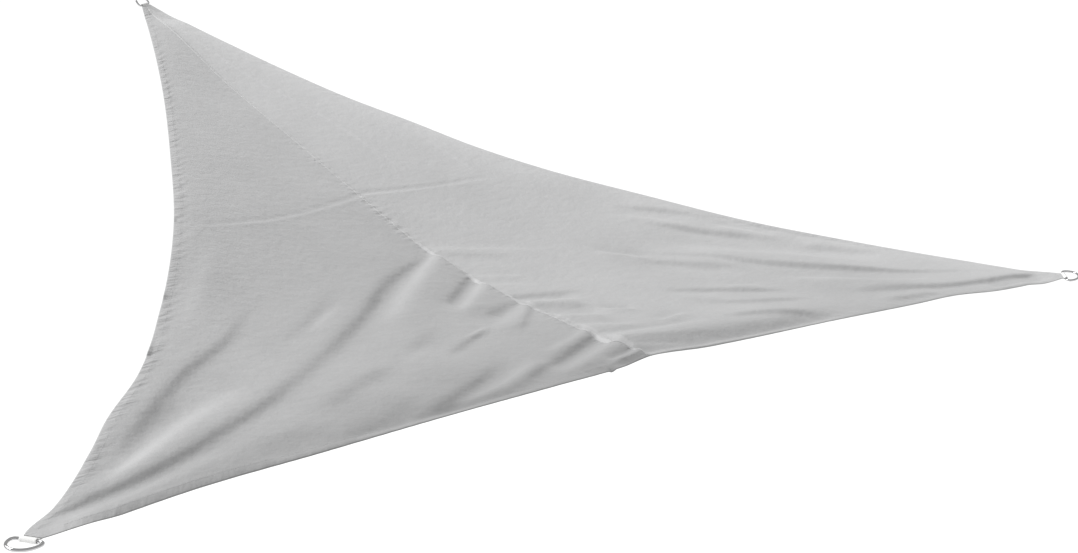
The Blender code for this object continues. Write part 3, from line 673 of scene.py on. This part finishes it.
def woven_polyester():
    """Light grey plain weave: threads both ways, slubs, a little mottling and fine crumples."""
    made, tree, shader = new_material("woven_polyester")
    shader.inputs["Roughness"].default_value = 0.60
    shader.inputs["Specular IOR Level"].default_value = 0.40
    shader.inputs["Sheen Weight"].default_value = 0.30
    shader.inputs["Sheen Roughness"].default_value = 0.50
    link = tree.links.new
    uv = node(tree, "ShaderNodeUVMap", uv_map="cut")

    mottle = node(tree, "ShaderNodeTexNoise", Scale=5.0, Detail=5.0, Roughness=0.62)
    link(uv.outputs["UV"], mottle.inputs["Vector"])
    slub_tones = []
    for across, along in ((900.0, 14.0), (14.0, 900.0)):
        stretch = node(tree, "ShaderNodeMapping", Scale=(across, along, 1.0))
        slub = node(tree, "ShaderNodeTexNoise", Scale=1.0, Detail=1.0)
        link(uv.outputs["UV"], stretch.inputs["Vector"])
        link(stretch.outputs["Vector"], slub.inputs["Vector"])
        slub_tones.append(slub)
    slubs = node(tree, "ShaderNodeMath", operation="ADD")
    for i, slub in enumerate(slub_tones):
        link(slub.outputs["Fac"], slubs.inputs[i])
    spread = node(tree, "ShaderNodeMath", operation="MULTIPLY_ADD")
    spread.inputs[1].default_value = 0.25
    link(slubs.outputs[0], spread.inputs[0])
    link(mottle.outputs["Fac"], spread.inputs[2])
    tone = node(tree, "ShaderNodeValToRGB")
    tone.color_ramp.elements[0].position = 0.45
    tone.color_ramp.elements[0].color = (0.364, 0.365, 0.367, 1)
    tone.color_ramp.elements[1].color = (0.412, 0.413, 0.415, 1)
    link(spread.outputs[0], tone.inputs["Fac"])
    # The base colour is scaled by the painted light and shade laid on the mesh.
    painted_light_and_shade = node(tree, "ShaderNodeAttribute", attribute_name="painted_light_and_shade")
    tone_with_painted_light = node(tree, "ShaderNodeVectorMath", operation="SCALE")
    link(tone.outputs["Color"], tone_with_painted_light.inputs["Vector"])
    link(painted_light_and_shade.outputs["Fac"], tone_with_painted_light.inputs["Scale"])
    link(tone_with_painted_light.outputs["Vector"], shader.inputs["Base Color"])

    weave = []
    for direction in ("X", "Y"):
        threads = node(
            tree, "ShaderNodeTexWave", wave_type="BANDS", bands_direction=direction, Scale=420.0
        )
        link(uv.outputs["UV"], threads.inputs["Vector"])
        weave.append(threads)
    crossed = node(tree, "ShaderNodeMath", operation="MULTIPLY")
    link(weave[0].outputs["Fac"], crossed.inputs[0])
    link(weave[1].outputs["Fac"], crossed.inputs[1])
    crumple = node(tree, "ShaderNodeTexNoise", Scale=38.0, Detail=4.0, Roughness=0.6)
    link(uv.outputs["UV"], crumple.inputs["Vector"])
    drawn = node(tree, "ShaderNodeBump", Strength=1.0, Distance=0.0050)
    gathered = None
    for line in ("side", "lower", "seam"):
        place = node(tree, "ShaderNodeAttribute", attribute_name="gathers_" + line)
        ticks = node(tree, "ShaderNodeTexNoise", noise_dimensions="2D", Scale=1.0, Detail=2.0)
        parts = node(tree, "ShaderNodeSeparateXYZ")
        total = node(tree, "ShaderNodeMath", operation="MULTIPLY_ADD")
        total.inputs[2].default_value = 0.0
        link(place.outputs["Vector"], ticks.inputs["Vector"])
        link(place.outputs["Vector"], parts.inputs["Vector"])
        link(ticks.outputs["Fac"], total.inputs[0])
        link(parts.outputs["Z"], total.inputs[1])
        if gathered:
            link(gathered.outputs[0], total.inputs[2])
        gathered = total
    link(gathered.outputs[0], drawn.inputs["Height"])
    soft = node(tree, "ShaderNodeBump", Strength=1.0, Distance=0.0022)
    link(crumple.outputs["Fac"], soft.inputs["Height"])
    link(drawn.outputs["Normal"], soft.inputs["Normal"])
    fine = node(tree, "ShaderNodeBump", Strength=0.5, Distance=0.00012)
    link(crossed.outputs[0], fine.inputs["Height"])
    link(soft.outputs["Normal"], fine.inputs["Normal"])
    link(fine.outputs["Normal"], shader.inputs["Normal"])
    return made


cloth_finish = woven_polyester()
for panel in ("left", "right"):
    mesh = cloth_mesh(panel)
    trim_tips(mesh, ("high", panel))
    mesh.materials.append(cloth_finish)
    sail = bpy.data.objects.new("sail_panel_" + panel, mesh)
    bpy.context.scene.collection.objects.link(sail)
    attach(sail, "root")
    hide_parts("panel_" + panel)


# A D-ring of 6 mm polished stainless rod sits in each corner's loop, bent round and welded shut
# behind its straight bar.
ROD = 0.0030
EYE_WIDTH = 0.050
RING_DEPTH = 0.041          # from the bar's middle to the outside of the bow
RING_CORNER = 0.008         # bend between the bar and the bow
BOW_STEPS = 72
CORNER_STEPS = 10


def ring_path():
    """The rod's centre line round the ring: x along the pull, y along the bar."""
    half = EYE_WIDTH / 2 + ROD
    bow = RING_DEPTH - ROD - RING_CORNER
    path = []
    for i in range(BOW_STEPS + 1):
        angle = math.pi * i / BOW_STEPS
        path.append((RING_CORNER + bow * math.sin(angle), half * math.cos(angle)))
    quarter = [math.pi / 2 * i / CORNER_STEPS for i in range(1, CORNER_STEPS + 1)]
    corner = [
        (RING_CORNER * (1 - math.sin(angle)), half - RING_CORNER * (1 - math.cos(angle)))
        for angle in quarter
    ]
    return path + [(x, -y) for x, y in corner] + corner[::-1]


def steel_finish():
    made, tree, shader = new_material("polished_steel")
    shader.inputs["Metallic"].default_value = 1.0
    link = tree.links.new
    place = node(tree, "ShaderNodeTexCoord")
    haze = node(tree, "ShaderNodeTexNoise", Scale=260.0, Detail=3.0)
    link(place.outputs["Object"], haze.inputs["Vector"])
    rough = node(tree, "ShaderNodeMapRange")
    rough.inputs["To Min"].default_value = 0.05
    rough.inputs["To Max"].default_value = 0.14
    link(haze.outputs["Fac"], rough.inputs["Value"])
    link(rough.outputs["Result"], shader.inputs["Roughness"])
    tint = node(tree, "ShaderNodeValToRGB")
    tint.color_ramp.elements[0].color = (0.50, 0.50, 0.51, 1)
    tint.color_ramp.elements[1].color = (0.60, 0.60, 0.60, 1)
    link(haze.outputs["Fac"], tint.inputs["Fac"])
    link(tint.outputs["Color"], shader.inputs["Base Color"])
    return made


def socket(tree, name):
    return next(item.identifier for item in tree.interface.items_tree if item.name == name)


def rod_tree(finish):
    """Sweeps a round rod of a named radius along the path it is given."""
    tree = bpy.data.node_groups.new("bent_rod", "GeometryNodeTree")
    tree.interface.new_socket("Geometry", in_out="INPUT", socket_type="NodeSocketGeometry")
    radius = tree.interface.new_socket("Rod Radius", in_out="INPUT", socket_type="NodeSocketFloat")
    radius.default_value = ROD
    tree.interface.new_socket("Geometry", in_out="OUTPUT", socket_type="NodeSocketGeometry")
    start, end = node(tree, "NodeGroupInput"), node(tree, "NodeGroupOutput")
    path = node(tree, "GeometryNodeMeshToCurve")
    section = node(tree, "GeometryNodeCurvePrimitiveCircle", Resolution=20)
    sweep = node(tree, "GeometryNodeCurveToMesh")
    shaded = node(tree, "GeometryNodeSetShadeSmooth")
    solid = node(tree, "GeometryNodeRealizeInstances")
    coat = node(tree, "GeometryNodeSetMaterial", Material=finish)
    link = tree.links.new
    link(start.outputs["Geometry"], path.inputs["Mesh"])
    link(start.outputs["Rod Radius"], section.inputs["Radius"])
    link(path.outputs["Curve"], sweep.inputs["Curve"])
    link(section.outputs["Curve"], sweep.inputs["Profile Curve"])
    link(sweep.outputs["Mesh"], shaded.inputs["Geometry"])
    link(shaded.outputs["Geometry"], solid.inputs["Geometry"])
    link(solid.outputs["Geometry"], coat.inputs["Geometry"])
    link(coat.outputs["Geometry"], end.inputs["Geometry"])
    return tree


def grown(name, points, closed, tree, values):
    """A plain mesh grown by a node tree along a path of world points."""
    count = len(points)
    path = bpy.data.meshes.new(name)
    edges = [(i, i + 1) for i in range(count - 1)] + ([(count - 1, 0)] if closed else [])
    path.from_pydata([tuple(point) for point in points], edges, [])
    holder = bpy.data.objects.new(name, path)
    bpy.context.scene.collection.objects.link(holder)
    modifier = holder.modifiers.new(name, "NODES")
    modifier.node_group = tree
    for key, value in values.items():
        modifier[socket(tree, key)] = value
    bpy.context.view_layer.update()
    graph = bpy.context.evaluated_depsgraph_get()
    mesh = bpy.data.meshes.new_from_object(holder.evaluated_get(graph))
    holder.modifiers.clear()
    holder.data = mesh
    return holder


ring_finish = steel_finish()
bent_rod = rod_tree(ring_finish)
for corner in CORNERS:
    seat = sail_plane @ corner_frame(corner) @ ring_lift(corner)
    path = [seat @ Vector((x, y, 0)) for x, y in ring_path()]
    ring = grown("ring_" + corner, path, True, bent_rod, {"Rod Radius": ROD})
    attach(ring, "root")
    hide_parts("d_ring_" + corner)


# A strip of thick white polyester webbing is folded round each bar, and its two tails are sewn
# under the corner of the cloth.
WEBBING_WIDTH = 0.030
TAIL = 0.050                # of strap behind the bar
WRAP = math.radians(132.0)  # the strap lies on the bar this far round, either way
EDGE_ROUND = 0.0007
SHOULDER, SHOULDER_SHARE = 0.0002, 0.6
TAIL_STEPS, BEND_STEPS, WRAP_STEPS, WIDTH_STEPS = 14, 3, 24, 12


def webbing_centre():
    """The strip's middle line: out along one tail, round the bar and back along the other."""
    slit, radius = GAP / 2 + WEBBING / 2, ROD + GAP + WEBBING / 2
    x, z = radius * math.cos(WRAP), radius * math.sin(WRAP)
    meet = x + (z - slit) * math.tan(WRAP)
    half = [(-TAIL + (TAIL + meet) * i / TAIL_STEPS, slit) for i in range(TAIL_STEPS + 1)]
    for i in range(1, BEND_STEPS):
        left = 1 - i / BEND_STEPS
        half.append((x + (meet - x) * left, z + (slit - z) * left))
    turn = [WRAP * (1 - 2 * i / WRAP_STEPS) for i in range(WRAP_STEPS + 1)]
    curve = [(radius * math.cos(angle), radius * math.sin(angle)) for angle in turn]
    return half + curve + [(px, -pz) for px, pz in reversed(half)]


def webbing_section():
    """The strip's cross-section: its two faces and their rounded edges."""
    half, thick = WEBBING_WIDTH / 2, WEBBING / 2
    flat = half - EDGE_ROUND
    shoulder = (half - SHOULDER, thick * SHOULDER_SHARE)
    face = [(-flat + 2 * flat * i / WIDTH_STEPS, thick) for i in range(WIDTH_STEPS + 1)]
    edge = [shoulder, (half, 0.0), (shoulder[0], -shoulder[1])]
    back = [(y, -thick) for y, _ in reversed(face)]
    return face + edge + back + [(-y, -z) for y, z in edge]


def webbing_mesh(corner):
    line = np.array(webbing_centre())
    ahead = np.roll(line, -1, axis=0)
    behind = np.roll(line, 1, axis=0)
    ahead[-1], behind[0] = line[-1], line[0]
    along = ahead - behind
    along /= np.linalg.norm(along, axis=1)[:, None]
    out = np.stack([-along[:, 1], along[:, 0]], axis=1)
    section = webbing_section()
    length = np.concatenate([[0], np.cumsum(np.linalg.norm(np.diff(line, axis=0), axis=1))])
    seat = sail_plane @ corner_frame(corner)
    bm = bmesh.new()
    lay = bm.loops.layers.uv.new("cut")
    rings = []
    for (x, z), (ox, oz) in zip(line, out):
        rings.append([bm.verts.new(seat @ Vector((x + ox * h, y, z + oz * h))) for y, h in section])
    count = len(section)
    for i in range(len(rings) - 1):
        for j in range(count):
            k = (j + 1) % count
            face = bm.faces.new((rings[i][j], rings[i][k], rings[i + 1][k], rings[i + 1][j]))
            for loop, (a, b) in zip(face.loops, ((i, j), (i, k), (i + 1, k), (i + 1, j))):
                loop[lay].uv = (length[a], section[b][0])
    for end in (rings[0], rings[-1][::-1]):
        bm.faces.new(end)
    bmesh.ops.recalc_face_normals(bm, faces=bm.faces[:])
    mesh = bpy.data.meshes.new("webbing_" + corner)
    bm.to_mesh(mesh)
    bm.free()
    mesh.shade_smooth()
    mesh.set_sharp_from_angle(angle=math.radians(60))
    return mesh


def webbing_finish():
    """White webbing with ribs across it and a finer weave along it."""
    made, tree, shader = new_material("white_webbing")
    shader.inputs["Roughness"].default_value = 0.75
    shader.inputs["Sheen Weight"].default_value = 0.10
    link = tree.links.new
    uv = node(tree, "ShaderNodeUVMap", uv_map="cut")
    ribs = node(tree, "ShaderNodeTexWave", wave_type="BANDS", bands_direction="X", Scale=330.0)
    lines = node(tree, "ShaderNodeTexWave", wave_type="BANDS", bands_direction="Y", Scale=260.0)
    both = node(tree, "ShaderNodeMath", operation="MULTIPLY_ADD")
    both.inputs[1].default_value = 0.6
    soil = node(tree, "ShaderNodeTexNoise", Scale=60.0, Detail=3.0)
    for texture in (ribs, lines, soil):
        link(uv.outputs["UV"], texture.inputs["Vector"])
    link(lines.outputs["Fac"], both.inputs[0])
    link(ribs.outputs["Fac"], both.inputs[2])
    tone = node(tree, "ShaderNodeValToRGB")
    tone.color_ramp.elements[0].color = (0.74, 0.74, 0.73, 1)
    tone.color_ramp.elements[1].color = (0.86, 0.86, 0.85, 1)
    link(soil.outputs["Fac"], tone.inputs["Fac"])
    link(tone.outputs["Color"], shader.inputs["Base Color"])
    relief = node(tree, "ShaderNodeBump", Strength=0.8, Distance=0.00016)
    link(both.outputs[0], relief.inputs["Height"])
    link(relief.outputs["Normal"], shader.inputs["Normal"])
    return made


strap_finish = webbing_finish()
for corner in CORNERS:
    mesh = webbing_mesh(corner)
    mesh.materials.append(strap_finish)
    strap = bpy.data.objects.new("webbing_" + corner, mesh)
    bpy.context.scene.collection.objects.link(strap)
    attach(strap, "root")
    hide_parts("webbing_loop_" + corner)


# The hems and the lapped seam are sewn with rows of light grey lockstitch.
STITCH_PITCH = 0.0042
STITCH_LENGTH = 0.0033
THREAD = 0.0004
STITCH_RISE = 0.0001        # the thread's middle lies this far above the cloth
ROW_POINTS = 700
ROW_TOP, ROW_CORNER = 0.022, 0.045          # shares where a hem's row starts, at a tip
SEAM_ROW_TOP = 0.030
ROW_FOOT, SEAM_ROW_FOOT = 0.024, 0.004      # a row ends this far from the lower edge
SEAM_ROWS = (0.0090, 0.0025)                # the lap's two rows lie this far from the seam
SEAM_ROW_SHARES = (1.0, 0.8)                # at these shares of the lap's rise


def thread_finish():
    made, tree, shader = new_material("sewing_thread")
    shader.inputs["Roughness"].default_value = 0.55
    place = node(tree, "ShaderNodeTexCoord")
    shade = node(tree, "ShaderNodeTexNoise", Scale=800.0, Detail=1.0)
    tone = node(tree, "ShaderNodeValToRGB")
    tone.color_ramp.elements[0].color = (0.58, 0.58, 0.58, 1)
    tone.color_ramp.elements[1].color = (0.70, 0.70, 0.70, 1)
    tree.links.new(place.outputs["Object"], shade.inputs["Vector"])
    tree.links.new(shade.outputs["Fac"], tone.inputs["Fac"])
    tree.links.new(tone.outputs["Color"], shader.inputs["Base Color"])
    return made


def stitch_tree(finish):
    """Sets one short rounded stitch at each pitch along the line it is given."""
    tree = bpy.data.node_groups.new("lockstitch", "GeometryNodeTree")
    tree.interface.new_socket("Geometry", in_out="INPUT", socket_type="NodeSocketGeometry")
    for name in ("Pitch", "Stitch Length", "Thread"):
        tree.interface.new_socket(name, in_out="INPUT", socket_type="NodeSocketFloat")
    tree.interface.new_socket("Geometry", in_out="OUTPUT", socket_type="NodeSocketGeometry")
    start, end = node(tree, "NodeGroupInput"), node(tree, "NodeGroupOutput")
    line = node(tree, "GeometryNodeMeshToCurve")
    spaced = node(tree, "GeometryNodeResampleCurve", mode="LENGTH")
    bead = node(tree, "GeometryNodeMeshUVSphere", Segments=6, Rings=4, Radius=0.5)
    size = node(tree, "ShaderNodeCombineXYZ")
    tangent = node(tree, "GeometryNodeInputTangent")
    turn = node(tree, "FunctionNodeAlignRotationToVector", axis="X")
    placed = node(tree, "GeometryNodeInstanceOnPoints")
    solid = node(tree, "GeometryNodeRealizeInstances")
    shaded = node(tree, "GeometryNodeSetShadeSmooth")
    coat = node(tree, "GeometryNodeSetMaterial", Material=finish)
    link = tree.links.new
    link(start.outputs["Geometry"], line.inputs["Mesh"])
    link(line.outputs["Curve"], spaced.inputs["Curve"])
    link(start.outputs["Pitch"], spaced.inputs["Length"])
    link(start.outputs["Stitch Length"], size.inputs["X"])
    link(start.outputs["Thread"], size.inputs["Y"])
    link(start.outputs["Thread"], size.inputs["Z"])
    link(tangent.outputs["Tangent"], turn.inputs["Vector"])
    link(spaced.outputs["Curve"], placed.inputs["Points"])
    link(bead.outputs["Mesh"], placed.inputs["Instance"])
    link(turn.outputs["Rotation"], placed.inputs["Rotation"])
    link(size.outputs["Vector"], placed.inputs["Scale"])
    link(placed.outputs["Instances"], solid.inputs["Geometry"])
    link(solid.outputs["Geometry"], shaded.inputs["Geometry"])
    link(shaded.outputs["Geometry"], coat.inputs["Geometry"])
    link(coat.outputs["Geometry"], end.inputs["Geometry"])
    return tree


def row_line(panel, inset=None, foot=None, beside_seam=None, rise=STITCH_RISE):
    """World points of a sewn row: inset from a side hem, up from the lower hem, or by the seam."""
    if inset is not None:
        s = np.linspace(ROW_TOP, 1 - ROW_FOOT / SEAM_LENGTH, ROW_POINTS)
        t = inset / panel_across(panel, s)
    elif foot is not None:
        s = np.full(ROW_POINTS, 1 - foot / SEAM_LENGTH)
        t = np.linspace(ROW_CORNER, 1.0, ROW_POINTS)
    else:
        s = np.linspace(SEAM_ROW_TOP, 1 - SEAM_ROW_FOOT / SEAM_LENGTH, ROW_POINTS)
        t = 1 - beside_seam / panel_across(panel, s)
    points = cloth_at(panel, s, t)
    points[..., 2] += rise
    return hung(points)


thread = thread_finish()
lockstitch = stitch_tree(thread)
sewn_rows = {
    "hem_left": row_line("left", inset=HEM_STITCH),
    "hem_right": row_line("right", inset=HEM_STITCH),
    "hem_lower_left": row_line("left", foot=HEM_STITCH),
    "hem_lower_right": row_line("right", foot=HEM_STITCH),
}
for name, beside, share in zip(("seam_near", "seam_far"), SEAM_ROWS, SEAM_ROW_SHARES):
    sewn_rows[name] = row_line("left", beside_seam=beside, rise=STITCH_RISE + LAP_RISE * share)
for name, points in sewn_rows.items():
    stitches = grown(
        "stitches_" + name, points, False, lockstitch,
        {"Pitch": STITCH_PITCH, "Stitch Length": STITCH_LENGTH, "Thread": THREAD},
    )
    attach(stitches, "root")


# A plain pale studio floor below, a large soft lamp high on the left, and even light all round.
FLOOR_DROP = 2.45
FLOOR_REACH = 300.0
LAMP_SIDE = Vector((-0.62, 0.60, 0.75))

ground = bpy.data.meshes.new("floor")
floor_corners = [
    (x * FLOOR_REACH, y * FLOOR_REACH, -FLOOR_DROP) for x, y in ((-1, -1), (1, -1), (1, 1), (-1, 1))
]
ground.from_pydata(floor_corners, [], [(0, 1, 2, 3)])
floor = bpy.data.objects.new("floor", ground)
bpy.context.scene.collection.objects.link(floor)
pale, tree, shader = new_material("pale_floor")
shader.inputs["Base Color"].default_value = (0.92, 0.92, 0.92, 1)
shader.inputs["Roughness"].default_value = 0.9
ground.materials.append(pale)

sky = bpy.data.worlds.new("studio")
bpy.context.scene.world = sky
sky.use_nodes = True
sky.node_tree.nodes["Background"].inputs["Color"].default_value = (1, 1, 1, 1)
sky.node_tree.nodes["Background"].inputs["Strength"].default_value = 0.42

lamp = bpy.data.objects.new("key", bpy.data.lights.new("key", "SUN"))
lamp.data.energy = 2.75
lamp.data.angle = math.radians(16)
lamp.rotation_euler = LAMP_SIDE.to_track_quat("Z", "Y").to_euler()
bpy.context.scene.collection.objects.link(lamp)

panel_lamp = bpy.data.objects.new("soft_box", bpy.data.lights.new("soft_box", "AREA"))
panel_lamp.data.energy = 60.0
panel_lamp.data.size = 2.4
panel_lamp.location = (-2.3, 1.2, 2.5)
panel_lamp.rotation_euler = LAMP_SIDE.to_track_quat("Z", "Y").to_euler()
bpy.context.scene.collection.objects.link(panel_lamp)

bpy.context.scene.view_settings.view_transform = "Standard"
bpy.context.scene.view_settings.exposure = 0.25
